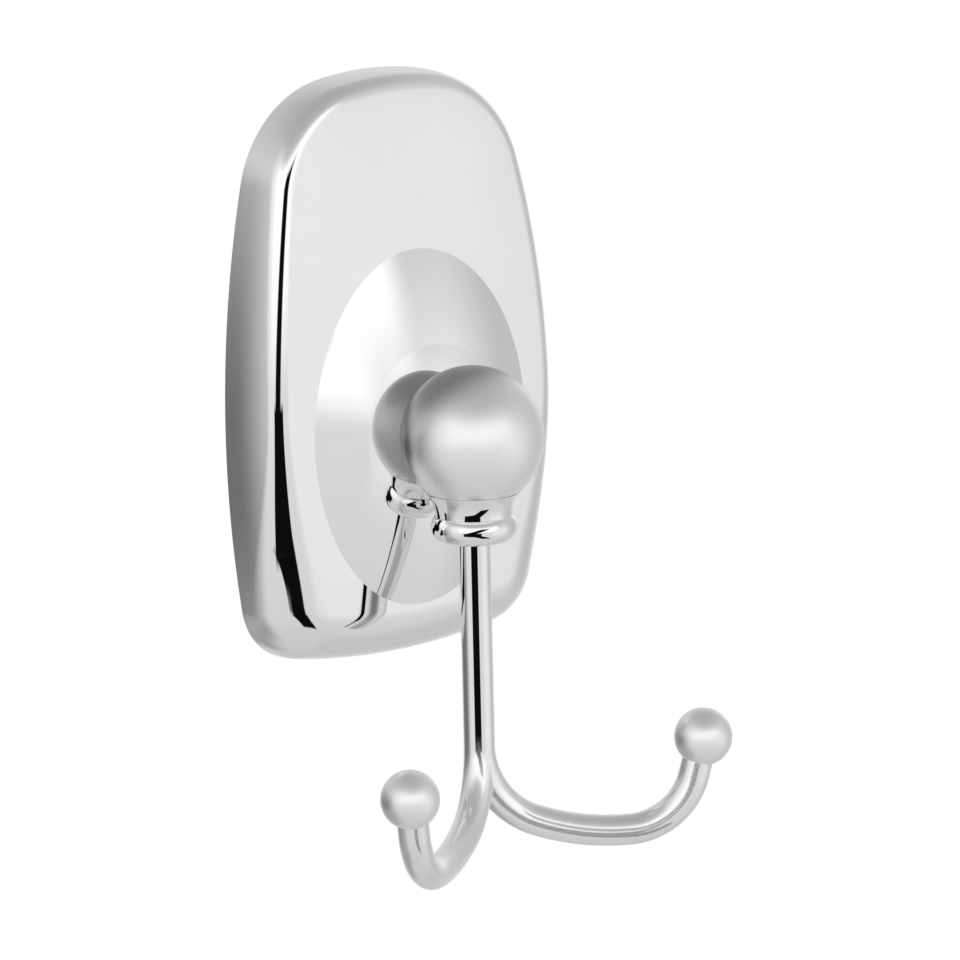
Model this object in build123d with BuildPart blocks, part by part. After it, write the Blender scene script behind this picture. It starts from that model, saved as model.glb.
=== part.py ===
"""Double robe hook for a bathroom wall.

A hollow cast backplate with a crowned face and an oval boss carries a ball hub. A drop rod hangs from
the hub through a turned collar and splits into two arms, each tipped with a small ball. Behind the
plate are the hub screw with its lock washer, the wall bracket and the set screw that locks the plate to it.

Frame, in millimetres: the wall is the plane Y = 0, the front faces -Y, +X is to the right and +Z is up.
The origin is on the wall, on the axis of the hub.
"""

import os
from math import asin, cos, degrees, radians, sin, sqrt, tan

from build123d import *

# Backplate: outline of four arcs with rounded corners, measured from the hub axis
plate_width = 74.0
plate_top = 69.3
plate_bottom = 46.3
plate_widest_level = 1.5
plate_side_radius = 220.0
plate_top_radius = 74.0
plate_bottom_radius = 150.0
plate_top_corner = 24.0
plate_bottom_corner = 13.0

# Backplate: section through its depth
plate_depth = 15.5
plate_side_inset = 3.0
plate_crown_radius = 380.0
plate_shoulder = 4.0
plate_wall = 2.4
cavity_corner = 1.6

# Oval boss: its foot, the swell of its skirt and the round seat for the hub, measured from the face
boss_half_width = 28.3
boss_half_height = 35.9
boss_root = 1.9
swell_half_width = 22.0
swell_half_height = 25.6
swell_rise = 1.4
seat_radius = 16.9
seat_rise = 3.4
boss_rise = 5.7

# Hub ball
hub_radius = 14.0
hub_standoff = 14.6
hub_socket_depth = 8.0

# Hub screw, lock washer and the post that they clamp
screw_diameter = 5.0
screw_head_diameter = 9.0
screw_head_height = 3.2
screw_head_round = 0.8
screw_slot_width = 1.2
screw_slot_depth = 1.4
screw_bite = 9.5
washer_diameter = 9.2
washer_thickness = 1.2
washer_split = 0.8
post_diameter = 16.0
post_face = 9.0

# Drop rod and arms
rod_diameter = 6.1
split_drop = 61.1
arm_spread_angle = 57.6
leave_radius = 16.6
leave_angle = 70.0
sweep_radius = 48.3
sweep_angle = 22.4
curl_radius = 13.9
curl_angle = 73.0

# Ball tips on the arms
tip_radius = 5.7
tip_stem = 7.7
spigot_diameter = 3.2
spigot_length = 4.0

# Turned collar below the hub
collar_lip_radius = 9.1
collar_lip_drop = 10.8
collar_lip_edge = 0.6
collar_waist_radius = 7.5
collar_waist_drop = 15.3
collar_bead_radius = 8.5
collar_bead_drop = 17.4
collar_foot_radius = 5.2
collar_foot_drop = 20.4

# Wall bracket, its rib in the plate, and the set screw
bracket_sheet = 1.6
bracket_width = 28.0
bracket_upper = 30.0
bracket_lower = 34.0
bracket_flange = 7.5
bracket_lean_angle = 15.0
bracket_bend = 1.0
bracket_corner = 2.0
wall_hole_diameter = 5.0
wall_hole_spacing = 40.0
rib_thickness = 2.5
rib_width = 34.0
set_screw_diameter = 4.0
set_screw_setback = 5.2
set_screw_recess = 0.4
set_screw_hex = 2.0
set_screw_socket = 2.5
set_screw_chamfer = 0.5
set_pad_diameter = 8.5
set_pad_height = 4.0

# Clearances, and the stock left past a face that is trimmed off
seat_gap = 0.05
slide_gap = 0.1
trim = 1.0

# Places worked out from the sizes above
wall_plane = Plane.XZ
hub_y = -(plate_depth + hub_standoff)
hub_centre = (0, hub_y, 0)
rod_radius = rod_diameter / 2
socket_top = hub_socket_depth - hub_radius


def arc_meeting(half_width, side_radius, end, end_radius):
    """Right-hand point where the side arc meets the arc of the top (end > 0) or of the bottom."""
    up = 1 if end > 0 else -1
    side_x = half_width - side_radius
    gap_x = -side_x
    gap_z = end - up * end_radius - plate_widest_level
    gap = sqrt(gap_x**2 + gap_z**2)
    along = (side_radius**2 - end_radius**2 + gap**2) / (2 * gap)
    across = sqrt(side_radius**2 - along**2)
    x = side_x + (along * gap_x - up * across * gap_z) / gap
    z = plate_widest_level + (along * gap_z + up * across * gap_x) / gap
    return x, z


def plate_section(inset, depth):
    """The plate's outline drawn in by inset, at a depth in front of the wall."""
    half = plate_width / 2 - inset
    top = plate_top - inset
    bottom = inset - plate_bottom
    side_radius = plate_side_radius - inset
    top_x, top_z = arc_meeting(half, side_radius, top, plate_top_radius - inset)
    low_x, low_z = arc_meeting(half, side_radius, bottom, plate_bottom_radius - inset)
    with BuildSketch(wall_plane.offset(depth)) as section:
        with BuildLine():
            ThreePointArc((low_x, low_z), (half, plate_widest_level), (top_x, top_z))
            ThreePointArc((top_x, top_z), (0, top), (-top_x, top_z))
            ThreePointArc((-top_x, top_z), (-half, plate_widest_level), (-low_x, low_z))
            ThreePointArc((-low_x, low_z), (0, bottom), (low_x, low_z))
        make_face()
        fillet(section.vertices().sort_by(Axis.Y)[-2:], plate_top_corner - inset)
        fillet(section.vertices().sort_by(Axis.Y)[:2], plate_bottom_corner - inset)
    return section.sketch


def side_inset(depth):
    """How far the side wall has drawn in at a depth: none at the wall, more and more towards the face."""
    return plate_side_inset * (depth / plate_depth) ** 2


def crowned_block(wall, corner):
    """The plate's solid form, or its hollow when a wall thickness is taken off all round."""
    with BuildPart() as block:
        for depth in (0, plate_depth / 2, plate_depth + trim):
            add(plate_section(side_inset(depth) + wall, depth))
        loft()
        with Locations((0, plate_crown_radius - plate_depth, 0)):
            Sphere(plate_crown_radius - wall, mode=Mode.INTERSECT)
        fillet(block.faces().filter_by(GeomType.SPHERE).edges(), corner)
    return block.part


def oval_boss(setback):
    """The boss, or its hollow when set back by a wall: an oval skirt closing to a round seat with a low cap."""
    face = plate_depth - setback
    sag = boss_rise - seat_rise
    cap_radius = (seat_radius**2 + sag**2) / (2 * sag)
    with BuildPart() as boss:
        with BuildSketch(wall_plane.offset(face - boss_root)):
            Ellipse(boss_half_width, boss_half_height)
        with BuildSketch(wall_plane.offset(face + swell_rise)):
            Ellipse(swell_half_width, swell_half_height)
        with BuildSketch(wall_plane.offset(face + seat_rise)):
            Circle(seat_radius)
        loft()
        with BuildSketch():
            with BuildLine():
                low = asin(seat_radius / cap_radius)
                crown = CenterArc((0, cap_radius - face - boss_rise), cap_radius, -90, degrees(low))
                Polyline(crown @ 1, (seat_radius, -face), (0, -face), crown @ 0)
            make_face()
        revolve(axis=Axis.Y)
    return boss.part


def lies_on_axis(diameter, near, far):
    """A round bar on the hub's screw axis, between two depths in front of the wall."""
    with BuildPart() as bar:
        with BuildSketch(wall_plane.offset(near)):
            Circle(diameter / 2)
        extrude(amount=far - near)
    return bar.part


# Wall bracket: one strip of sheet with two flanges that lean apart
flange_rise = (bracket_flange - bracket_sheet / 2) * tan(radians(bracket_lean_angle))
sheet_half_height = bracket_sheet / 2 / cos(radians(bracket_lean_angle))
with BuildPart() as wall_bracket:
    with BuildSketch(Plane.YZ) as strip:
        with BuildLine():
            FilletPolyline(
                (-bracket_flange, bracket_upper + flange_rise),
                (-bracket_sheet / 2, bracket_upper),
                (-bracket_sheet / 2, -bracket_lower),
                (-bracket_flange, -bracket_lower - flange_rise),
                radius=bracket_bend + bracket_sheet / 2,
            )
        trace(line_width=bracket_sheet)
    extrude(amount=bracket_width / 2, both=True)
    flange_ends = wall_bracket.faces().sort_by(Axis.Y)[:2]
    fillet(flange_ends.edges().filter_by(Axis.X, reverse=True), bracket_corner)
    with Locations(wall_plane.offset(bracket_sheet)):
        with Locations((0, wall_hole_spacing / 2), (0, -wall_hole_spacing / 2)):
            Hole(wall_hole_diameter / 2)
wall_bracket.part.label = "wall_bracket"

# Backplate: crowned shell with the boss, then the ball's seat, post, rib and pad cast inside it
flange_top = bracket_upper + sheet_half_height + slide_gap
rib_back = 2 * bracket_sheet
lean_slope = tan(radians(bracket_lean_angle))
set_screw_tip = -(bracket_lower + sheet_half_height + seat_gap)
set_screw_nose = set_screw_diameter / 2 - set_screw_chamfer
set_screw_tip -= (set_screw_setback + set_screw_nose - bracket_sheet / 2) * lean_slope
pad_top = plate_wall + set_pad_height - plate_bottom

with BuildPart() as blank:
    add(crowned_block(0, plate_shoulder))
    add(oval_boss(0))

with BuildPart() as fittings:
    with Locations(hub_centre):
        Sphere(hub_radius + plate_wall)
    add(lies_on_axis(post_diameter, post_face, plate_depth + boss_rise))
    with BuildSketch(Plane.YZ):
        with BuildLine():
            rib_low = flange_top + (rib_back - bracket_sheet / 2) * lean_slope
            rib_high = flange_top + (plate_depth - bracket_sheet / 2) * lean_slope
            Polyline(
                (-rib_back, rib_low),
                (-plate_depth, rib_high),
                (-plate_depth, rib_high + rib_thickness),
                (-rib_back, rib_low + rib_thickness),
                close=True,
            )
        make_face()
    extrude(amount=rib_width / 2, both=True)
    with BuildSketch(Plane.XY.offset(pad_top)):
        with Locations((0, -set_screw_setback)):
            Circle(set_pad_diameter / 2)
    extrude(amount=-(plate_bottom + pad_top))
    add(blank.part, mode=Mode.INTERSECT)

with BuildPart() as backplate:
    add(blank.part)
    add(crowned_block(plate_wall, cavity_corner), mode=Mode.SUBTRACT)
    add(oval_boss(plate_wall), mode=Mode.SUBTRACT)
    add(fittings.part)
    with Locations(hub_centre):
        Sphere(hub_radius + seat_gap, mode=Mode.SUBTRACT)
    add(lies_on_axis(screw_diameter + 2 * slide_gap, 0, -hub_y), mode=Mode.SUBTRACT)
    with BuildSketch(Plane.XY.offset(pad_top)):
        with Locations((0, -set_screw_setback)):
            Circle(set_screw_diameter / 2 + slide_gap)
    extrude(amount=-(plate_bottom + pad_top), mode=Mode.SUBTRACT)
backplate.part.label = "backplate"

# Set screw: headless, with a hexagon socket in its lower end
set_screw_foot = side_inset(set_screw_setback) + set_screw_recess - plate_bottom
with BuildPart() as set_screw:
    with BuildSketch(Plane.XY.offset(set_screw_foot)):
        with Locations((0, -set_screw_setback)):
            Circle(set_screw_diameter / 2)
    extrude(amount=set_screw_tip - set_screw_foot)
    chamfer(set_screw.faces().sort_by(Axis.Z)[-1].edges(), set_screw_chamfer)
    with BuildSketch(Plane.XY.offset(set_screw_foot)):
        with Locations((0, -set_screw_setback)):
            RegularPolygon(set_screw_hex / 2, 6, major_radius=False)
    extrude(amount=set_screw_socket, mode=Mode.SUBTRACT)
set_screw.part.label = "set_screw"

# Hub ball, drilled at the back for its screw and below for the drop rod
hub_back = hub_standoff - hub_radius + plate_depth
with BuildPart() as hub_ball:
    with Locations(hub_centre):
        Sphere(hub_radius)
    add(lies_on_axis(screw_diameter + 2 * seat_gap, 0, hub_back + screw_bite + trim), mode=Mode.SUBTRACT)
    with BuildSketch(Plane.XY.offset(socket_top)):
        with Locations((0, hub_y)):
            Circle(rod_radius + seat_gap)
    extrude(amount=-hub_radius, mode=Mode.SUBTRACT)
hub_ball.part.label = "hub_ball"

# Lock washer: a split ring between the post and the screw's head
with BuildPart() as lock_washer:
    with BuildSketch(wall_plane.offset(post_face - washer_thickness)):
        Circle(washer_diameter / 2)
        Circle(screw_diameter / 2 + slide_gap, mode=Mode.SUBTRACT)
        with Locations((washer_diameter / 2, 0)):
            Rectangle(washer_diameter, washer_split, mode=Mode.SUBTRACT)
    extrude(amount=washer_thickness)
lock_washer.part.label = "lock_washer"

# Hub screw: pan head with a driver slot, its shank reaching into the ball
head_seat = post_face - washer_thickness
with BuildPart() as hub_screw:
    add(lies_on_axis(screw_head_diameter, head_seat - screw_head_height, head_seat))
    fillet(hub_screw.faces().sort_by(Axis.Y)[-1].edges(), screw_head_round)
    add(lies_on_axis(screw_diameter, head_seat, hub_back + screw_bite))
    with BuildSketch(wall_plane.offset(head_seat - screw_head_height)):
        Rectangle(screw_head_diameter, screw_slot_width)
    extrude(amount=screw_slot_depth, mode=Mode.SUBTRACT)
hub_screw.part.label = "hub_screw"

# Collar: turned in one piece, a flared lip under the ball above a round bead
with BuildPart() as collar:
    with BuildSketch(Plane(hub_centre, x_dir=(1, 0, 0), z_dir=(0, -1, 0))):
        with BuildLine():
            foot = Line((0, -collar_foot_drop), (collar_foot_radius, -collar_foot_drop))
            bead = ThreePointArc(
                foot @ 1,
                (collar_bead_radius, -collar_bead_drop),
                (collar_waist_radius, -collar_waist_drop),
            )
            lip = TangentArc(bead @ 1, (collar_lip_radius, -collar_lip_drop), tangent=(0, 1))
            Polyline(
                lip @ 1,
                (collar_lip_radius - collar_lip_edge, collar_lip_edge - collar_lip_drop),
                (0, collar_lip_edge - collar_lip_drop),
                foot @ 0,
            )
        make_face()
    revolve(axis=Axis(hub_centre, (0, 0, 1)))
    with Locations(hub_centre):
        Sphere(hub_radius + seat_gap, mode=Mode.SUBTRACT)
    with Locations((0, hub_y, -collar_foot_drop)):
        Cylinder(rod_radius + seat_gap, 2 * collar_foot_drop, mode=Mode.SUBTRACT)
collar.part.label = "collar"

# Hook arms: drop rod and right arm on one path, halved on the middle plane and mirrored
arm_direction = Vector(sin(radians(arm_spread_angle)), -cos(radians(arm_spread_angle)), 0)
arm_plane = Plane(hub_centre, x_dir=arm_direction, z_dir=arm_direction.cross(Vector(0, 0, 1)))
tip_seat = sqrt(tip_radius**2 - rod_radius**2)
with BuildPart() as hook_arms:
    with BuildLine(arm_plane):
        drop = Line((0, socket_top - slide_gap), (0, -split_drop))
        leave = JernArc(drop @ 1, drop % 1, leave_radius, leave_angle)
        cradle = JernArc(leave @ 1, leave % 1, sweep_radius, sweep_angle)
        curl = JernArc(cradle @ 1, cradle % 1, curl_radius, curl_angle)
        stem = Line(curl @ 1, curl @ 1 + (curl % 1) * (tip_stem - tip_seat))
    with BuildSketch(Plane(drop @ 0, z_dir=drop % 0)):
        Circle(rod_radius)
    sweep()
    with BuildSketch(Plane(stem @ 1, z_dir=stem % 1)):
        Circle(spigot_diameter / 2)
    extrude(amount=spigot_length)
    split(bisect_by=Plane.YZ)
    mirror(about=Plane.YZ)
hook_arms.part.label = "hook_arms"

# Ball tips: each seats flat on the end of its arm and is bored for the spigot
tip_base = Plane(stem @ 1, z_dir=stem % 1)
with BuildPart() as right_tip_ball:
    with Locations(tip_base.offset(tip_seat)):
        Sphere(tip_radius)
    split(bisect_by=tip_base)
    with BuildSketch(tip_base):
        Circle(spigot_diameter / 2 + seat_gap)
    extrude(amount=spigot_length + slide_gap, mode=Mode.SUBTRACT)
right_tip_ball.part.label = "right_tip_ball"

with BuildPart() as left_tip_ball:
    mirror(right_tip_ball.part, about=Plane.YZ)
left_tip_ball.part.label = "left_tip_ball"

os.makedirs("parts", exist_ok=True)
export_step(backplate.part, "parts/backplate.step")
export_step(hub_ball.part, "parts/hub_ball.step")
export_step(collar.part, "parts/collar.step")
export_step(hook_arms.part, "parts/hook_arms.step")
export_step(left_tip_ball.part, "parts/left_tip_ball.step")
export_step(right_tip_ball.part, "parts/right_tip_ball.step")
export_step(wall_bracket.part, "parts/wall_bracket.step")
export_step(hub_screw.part, "parts/hub_screw.step")
export_step(lock_washer.part, "parts/lock_washer.step")
export_step(set_screw.part, "parts/set_screw.step")
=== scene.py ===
# %% [markdown]
# # A double robe hook in polished and satin chrome
# The hook is drawn as solids already, and this lesson dresses it. Chrome shows hardly any colour of
# its own: what one sees in it is the studio. So three things matter here: smooth, evenly divided
# meshes that bend a reflection without a kink, a studio worth mirroring, and finishes that differ
# only in how sharply they mirror it.

# %% Load the solids
import math

import bmesh
import bpy
from mathutils import Matrix, Vector


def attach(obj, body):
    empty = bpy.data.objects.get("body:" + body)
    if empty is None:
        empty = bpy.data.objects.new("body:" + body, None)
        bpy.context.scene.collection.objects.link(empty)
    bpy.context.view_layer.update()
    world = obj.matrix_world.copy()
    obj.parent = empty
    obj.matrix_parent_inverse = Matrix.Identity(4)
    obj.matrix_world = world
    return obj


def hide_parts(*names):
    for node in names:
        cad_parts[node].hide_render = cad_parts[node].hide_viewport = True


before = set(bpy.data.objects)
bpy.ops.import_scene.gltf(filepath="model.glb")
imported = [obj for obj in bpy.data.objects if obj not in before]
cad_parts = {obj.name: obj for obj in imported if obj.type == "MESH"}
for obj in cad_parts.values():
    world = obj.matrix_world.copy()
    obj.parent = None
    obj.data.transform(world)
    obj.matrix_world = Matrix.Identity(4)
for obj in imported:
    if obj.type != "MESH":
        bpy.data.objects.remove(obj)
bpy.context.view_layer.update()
mm = 0.001
bpy.context.scene.view_settings.view_transform = "Standard"
print("solids:", ", ".join(sorted(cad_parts)))

# %% [markdown]
# ## Camera
# The camera stands to the left of the hook and a little above it, far back behind a long lens, as
# for a catalogue picture. Two angles and a distance from the ball hub place it, and it is rolled
# slightly. It could be aimed with a constraint, but working out its three axes keeps the ball on a
# chosen spot of the picture.

# %% Camera
HUB_CENTRE = Vector((0, -30.1 * mm, 0))
VIEW_AZIMUTH = math.radians(40.06)
VIEW_ELEVATION = math.radians(10.6)
VIEW_ROLL = math.radians(-1.3)
VIEW_DISTANCE = 1.473
PICTURE_SIDE = 960
FOCAL_PIXELS = 7610
HUB_PIXEL = (472.3, 437.3)
SENSOR_WIDTH, CLIP_END = 36, 200

forward = Vector((
    math.sin(VIEW_AZIMUTH) * math.cos(VIEW_ELEVATION),
    math.cos(VIEW_AZIMUTH) * math.cos(VIEW_ELEVATION),
    -math.sin(VIEW_ELEVATION),
))
level_right = Vector((math.cos(VIEW_AZIMUTH), -math.sin(VIEW_AZIMUTH), 0))
level_up = level_right.cross(forward)
right = math.cos(VIEW_ROLL) * level_right + math.sin(VIEW_ROLL) * level_up
up = math.cos(VIEW_ROLL) * level_up - math.sin(VIEW_ROLL) * level_right
across = (HUB_PIXEL[0] - PICTURE_SIDE / 2) / FOCAL_PIXELS
above = (PICTURE_SIDE / 2 - HUB_PIXEL[1]) / FOCAL_PIXELS
aim = (forward - across * right - above * up).normalized()
right = (right - right.dot(aim) * aim).normalized()
up = right.cross(aim)

bpy.ops.object.camera_add(location=HUB_CENTRE - VIEW_DISTANCE * forward)
camera = bpy.context.object
place = camera.location.copy()
camera.matrix_world = Matrix((
    (right.x, up.x, -aim.x, place.x),
    (right.y, up.y, -aim.y, place.y),
    (right.z, up.z, -aim.z, place.z),
    (0, 0, 0, 1),
))
camera.data.sensor_width = SENSOR_WIDTH
camera.data.lens = SENSOR_WIDTH * FOCAL_PIXELS / PICTURE_SIDE
camera.data.clip_end = CLIP_END
bpy.context.scene.camera = camera
print("camera at", [round(value, 3) for value in place], "lens", round(camera.data.lens, 1))

# %% [markdown]
# ## Rings
# Plate, collar, balls and set screw are modelled ring by ring: a primitive circle, then one
# extrusion after another, each new ring drawn to its own place. A subdivided box would be quicker,
# but its shoulders would bulge where the control cage bends. With rings, each line of the mesh
# follows the form, so reflections stay calm. Every corner of the first circle gets a number, and
# extruding hands that number on. It hands on sharpness as well, so each ring says for itself
# whether it is a real edge.

# %% Ring tools
WELD_GAP = 0.0005 * mm
CREASE = math.radians(28)
HALVINGS = 48


def pick(piece):
    """Make a piece the active one and the only one selected."""
    bpy.ops.object.select_all(action="DESELECT")
    piece.select_set(True)
    bpy.context.view_layer.objects.active = piece


def strides(steps):
    """For each step of a run, its share of the way and whether it is the last."""
    return [(step / steps, step == steps) for step in range(1, steps + 1)]


def place_ring(piece, points):
    """Move the selected ring to a list of points, one for each numbered corner, in millimetres."""
    mesh = bmesh.from_edit_mesh(piece.data)
    number = mesh.verts.layers.int["ring_number"]
    for corner in mesh.verts:
        if corner.select:
            corner.co = points[corner[number]] * mm
    bmesh.update_edit_mesh(piece.data)


def first_ring(name, points):
    """Add a sharp ring with one corner per point, number its corners and stay in edit mode."""
    bpy.ops.object.select_all(action="DESELECT")
    bpy.ops.mesh.primitive_circle_add(vertices=len(points), radius=1)
    piece = bpy.context.object
    piece.name = piece.data.name = name
    bpy.ops.object.mode_set(mode="EDIT")
    mesh = bmesh.from_edit_mesh(piece.data)
    number = mesh.verts.layers.int.new("ring_number")
    for count, corner in enumerate(mesh.verts):
        corner[number] = count
    place_ring(piece, points)
    bpy.ops.mesh.mark_sharp()
    return piece


def next_ring(piece, points, sharp=False):
    """Extrude the open ring and draw the new one to its points; a sharp ring is a real edge."""
    bpy.ops.mesh.extrude_region()
    place_ring(piece, points)
    bpy.ops.mesh.mark_sharp(clear=not sharp)


def close_rings(piece):
    """Weld the last ring to the first, turn all faces outwards and go back to object mode."""
    bpy.ops.mesh.select_all(action="SELECT")
    bpy.ops.mesh.remove_doubles(threshold=WELD_GAP)
    bpy.ops.mesh.normals_make_consistent(inside=False)
    bpy.ops.object.mode_set(mode="OBJECT")
    bpy.ops.object.shade_smooth()
    print(piece.name, "has", len(piece.data.polygons), "faces")


def bisected(low, high, rises_past):
    """Halve an interval until it closes on the value where rises_past turns from False to True."""
    for _ in range(HALVINGS):
        middle = (low + high) / 2
        if rises_past(middle):
            high = middle
        else:
            low = middle
    return (low + high) / 2

# %% [markdown]
# ## Backplate outline
# Seen from the front, the plate is four large arcs with rounded corners. All the arcs touch without
# a kink, so the direction that the edge faces turns steadily once round. That is handy: a narrower
# outline, further up the plate's side, has the same arc centres and smaller radii, so each point
# just moves straight in.

# %% Backplate outline
PLATE_HALF_WIDTH, PLATE_TOP, PLATE_BOTTOM = 37.0, 69.3, 46.3
WIDEST_LEVEL = 1.5
SIDE_RADIUS, TOP_RADIUS, BOTTOM_RADIUS = 220.0, 74.0, 150.0
TOP_CORNER, BOTTOM_CORNER = 24.0, 13.0
LOW_STEPS, LOW_CORNER_STEPS, SIDE_STEPS, TOP_CORNER_STEPS, TOP_STEPS = 64, 48, 64, 28, 18


def corner_centre(end, end_radius, corner):
    """Centre of the rounded corner between the right side and one end, the top or the bottom."""
    turn = 1 if end > 0 else -1
    side_x = PLATE_HALF_WIDTH - SIDE_RADIUS
    to_side, to_end = SIDE_RADIUS - corner, end_radius - corner
    gap_x, gap_z = -side_x, end - turn * end_radius - WIDEST_LEVEL
    gap = math.hypot(gap_x, gap_z)
    along = (to_side**2 - to_end**2 + gap**2) / (2 * gap)
    beside = math.sqrt(to_side**2 - along**2)
    return Vector((
        side_x + (along * gap_x - turn * beside * gap_z) / gap,
        WIDEST_LEVEL + (along * gap_z + turn * beside * gap_x) / gap,
    ))


side_middle = Vector((PLATE_HALF_WIDTH - SIDE_RADIUS, WIDEST_LEVEL))
top_middle = Vector((0, PLATE_TOP - TOP_RADIUS))
low_middle = Vector((0, BOTTOM_RADIUS - PLATE_BOTTOM))
top_corner = corner_centre(PLATE_TOP, TOP_RADIUS, TOP_CORNER)
low_corner = corner_centre(-PLATE_BOTTOM, BOTTOM_RADIUS, BOTTOM_CORNER)


def facing(start, end):
    return math.atan2(end.y - start.y, end.x - start.x)


turns = (
    -math.pi / 2,
    facing(low_middle, low_corner),
    facing(side_middle, low_corner),
    facing(side_middle, top_corner),
    facing(top_middle, top_corner),
    math.pi / 2,
)
edge_arcs = (
    (low_middle, BOTTOM_RADIUS, LOW_STEPS),
    (low_corner, BOTTOM_CORNER, LOW_CORNER_STEPS),
    (side_middle, SIDE_RADIUS, SIDE_STEPS),
    (top_corner, TOP_CORNER, TOP_CORNER_STEPS),
    (top_middle, TOP_RADIUS, TOP_STEPS),
)
right_edge = []
for (centre, radius, steps), start, end in zip(edge_arcs, turns, turns[1:]):
    for step in range(steps):
        angle = start + (end - start) * step / steps
        outwards = Vector((math.cos(angle), math.sin(angle)))
        right_edge.append((centre + radius * outwards, outwards))
right_edge.append((Vector((0, PLATE_TOP)), Vector((0, 1))))
left_edge = [(Vector((-spot.x, spot.y)), Vector((-out.x, out.y)))
             for spot, out in right_edge[-2:0:-1]]
plate_edge = right_edge + left_edge
print("outline of", len(plate_edge), "points")

# %% [markdown]
# ## Backplate section
# From the wall forwards, the side leans in more and more, a rounded shoulder rolls over, and the
# face is part of a very large sphere. The hollow behind has the same section, one wall thickness
# further in. At each outline point the shoulder's centre is found by trying heights until a ball of
# the shoulder's radius touches both side and face. A bevel would do something like it, but not with
# an edge that rises and falls as this one does, or with a shoulder that widens to a broad roll
# towards the lower edge.

# %% Backplate section
PLATE_DEPTH, SIDE_INSET, CROWN_RADIUS = 15.5, 3.0, 380.0
PLATE_WALL, SHOULDER, CAVITY_CORNER = 2.4, 4.0, 1.6
ROLL_GROWTH, ROLL_HIGH, ROLL_LOW = 7.5, 8.0, -38.0
LOWEST_TOUCH = 1.0
LEAN_STEPS, SHOULDER_STEPS, HOLLOW_STEPS = 18, 36, 8
crown_middle = PLATE_DEPTH - CROWN_RADIUS


def at_depth(spot, depth):
    """A point of the plate: a spot of the front view, brought forwards from the wall."""
    return Vector((spot.x, -depth, spot.y))


def crown_depth(spot, wall):
    return crown_middle + math.sqrt((CROWN_RADIUS - wall) ** 2 - spot.length_squared)


def side_lean(depth):
    return SIDE_INSET * (depth / PLATE_DEPTH) ** 2


def shoulder_centre(spot, outwards, depth, wall, corner):
    """Where a ball of the corner's radius lies that touches the side at this depth from within."""
    slope = 2 * SIDE_INSET * depth / PLATE_DEPTH**2
    reach = corner / math.hypot(1, slope)
    return at_depth(spot - (side_lean(depth) + wall + reach) * outwards, depth - slope * reach)


def shell_section(spot, outwards, wall, corner, side_steps, corner_steps):
    """Points up the side and over the shoulder at one place of the outline."""
    ball = CROWN_RADIUS - wall - corner
    heart = Vector((0, -crown_middle, 0))
    touch = bisected(LOWEST_TOUCH, PLATE_DEPTH, lambda depth: (
        shoulder_centre(spot, outwards, depth, wall, corner) - heart).length > ball)
    centre = shoulder_centre(spot, outwards, touch, wall, corner)
    points = []
    for step in range(side_steps + 1):
        depth = touch * step / side_steps
        points.append(at_depth(spot - (side_lean(depth) + wall) * outwards, depth))
    first = (points[-1] - centre).normalized()
    last = (centre - heart).normalized()
    for step in range(1, corner_steps + 1):
        points.append(centre + corner * first.slerp(last, step / corner_steps))
    return points


def low_roll(spot):
    """How much wider the shoulder is here: nothing high up, growing smoothly to the lower edge."""
    share = min(max((spot.y - ROLL_HIGH) / (ROLL_LOW - ROLL_HIGH), 0.0), 1.0)
    return ROLL_GROWTH * share * share * (3 - 2 * share)


outer_sections = [
    shell_section(spot, out, 0, SHOULDER + low_roll(spot), LEAN_STEPS, SHOULDER_STEPS)
    for spot, out in plate_edge]
inner_sections = [
    shell_section(spot, out, PLATE_WALL, CAVITY_CORNER + low_roll(spot), HOLLOW_STEPS, HOLLOW_STEPS)
    for spot, out in plate_edge]
shoulder_tops = [section[-1] for section in outer_sections]
print("shoulder ends", round(min(-top.y for top in shoulder_tops), 2), "to",
      round(max(-top.y for top in shoulder_tops), 2), "mm in front of the wall")

# %% [markdown]
# ## Boss and ball seat
# The boss starts as an oval on the face and closes to a round seat: three sections, with a gentle
# curve through them. Above the seat's edge is a low cap, and the ball sits in a dish in it. Behind,
# the same boss is repeated a wall thickness further back, with a bulge and a post for the ball's
# screw. On the real plate these are cast in one piece, so here they are rings of one mesh too.

# %% Boss and ball seat
BOSS_FOOT = (28.3, 35.9, -1.9)
BOSS_SWELL = (22.0, 25.6, 1.4)
BOSS_SEAT = (16.9, 16.9, 3.4)
SWELL_SHARE = 0.555
BOSS_RISE = 5.7
HUB_RADIUS, SEAT_GAP, SLIDE_GAP = 14.0, 0.05, 0.1
HUB_DEPTH = -HUB_CENTRE.y / mm
POST_RADIUS, POST_FACE = 8.0, 9.0
HUB_SCREW_RADIUS = 2.5
SCREW_HOLE = HUB_SCREW_RADIUS + SLIDE_GAP
cap_sag = BOSS_RISE - BOSS_SEAT[2]
cap_radius = (BOSS_SEAT[0] ** 2 + cap_sag**2) / (2 * cap_sag)


def boss_turn(spot):
    """The turn round the boss's oval foot that lies in the direction of a spot of the outline."""
    return math.atan2(spot.y / BOSS_FOOT[1], spot.x / BOSS_FOOT[0])


def skirt_point(turn, share, setback):
    """A point of the boss's skirt: share 0 is its foot below the face, share 1 the seat's edge."""
    sections = [Vector((wide * math.cos(turn), high * math.sin(turn), rise)) for wide, high, rise in
                (BOSS_FOOT, BOSS_SWELL, BOSS_SEAT)]
    weights = (
        (share - SWELL_SHARE) * (share - 1) / SWELL_SHARE,
        share * (share - 1) / (SWELL_SHARE * (SWELL_SHARE - 1)),
        share * (share - SWELL_SHARE) / (1 - SWELL_SHARE),
    )
    blend = sum((weight * section for weight, section in zip(weights, sections)), Vector((0, 0, 0)))
    return at_depth(blend.xy, PLATE_DEPTH - setback + blend.z)


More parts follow.
